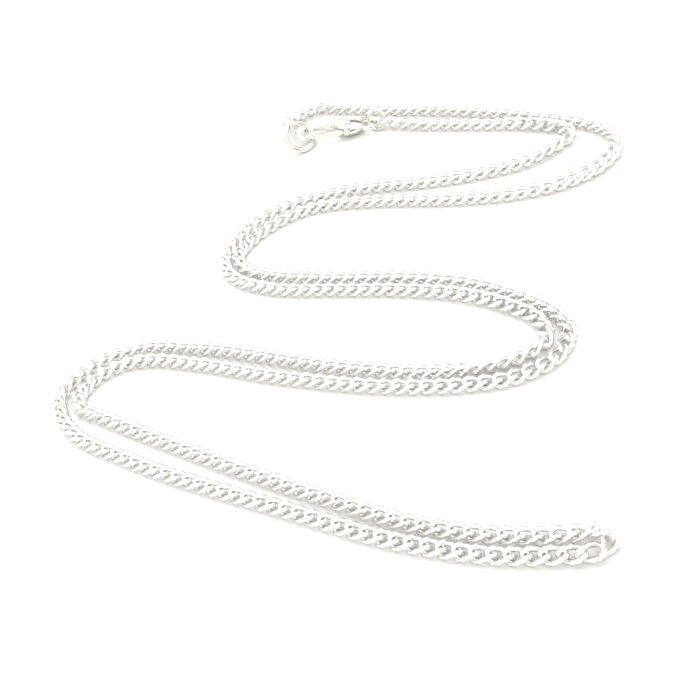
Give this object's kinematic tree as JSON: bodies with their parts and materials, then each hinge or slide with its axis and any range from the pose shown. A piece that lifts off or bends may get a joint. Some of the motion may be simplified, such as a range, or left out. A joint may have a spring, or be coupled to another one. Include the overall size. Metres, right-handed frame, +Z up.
{
  "type": "curb chain necklace",
  "caption": "Fine silver curb chain necklace lying doubled in five rows, closed by a lobster clasp hooked into a round ring.",
  "frame": {"origin": "middle of the layout's box, on the surface that the necklace lies on", "axes": "+X to the right along the rows, +Y away from the viewer, +Z up from the surface"},
  "size_m": [0.0752, 0.0761, 0.005],
  "materials": {
    "chain_silver": "polished silver links",
    "ring_silver": "polished silver wire",
    "cast_silver": "polished cast silver",
    "lever_silver": "polished silver",
    "pin_silver": "polished, slightly duller pin"
  },
  "bodies": {
    "necklace": {"chain_a": "chain_silver", "chain_b": "chain_silver", "end_link_a1": "chain_silver", "end_link_a2": "chain_silver", "end_link_b1": "chain_silver", "end_link_b2": "chain_silver", "fastening_ring": "ring_silver", "end_ring": "ring_silver", "link_ring": "ring_silver", "clasp_body": "cast_silver", "clasp_pin": "pin_silver"},
    "lever": {"clasp_lever": "lever_silver"}
  },
  "joints": [
    {"name": "lever_hinge", "type": "hinge", "parent": "necklace", "child": "lever", "pos_m": [-0.019, 0.03066, 0.0013], "axis": [-0.0089, -0.1482, -0.9889], "range_deg": [0, 8], "stiffness_Nm_per_rad": 0.00002, "springref_deg": -17.19}
  ]
}
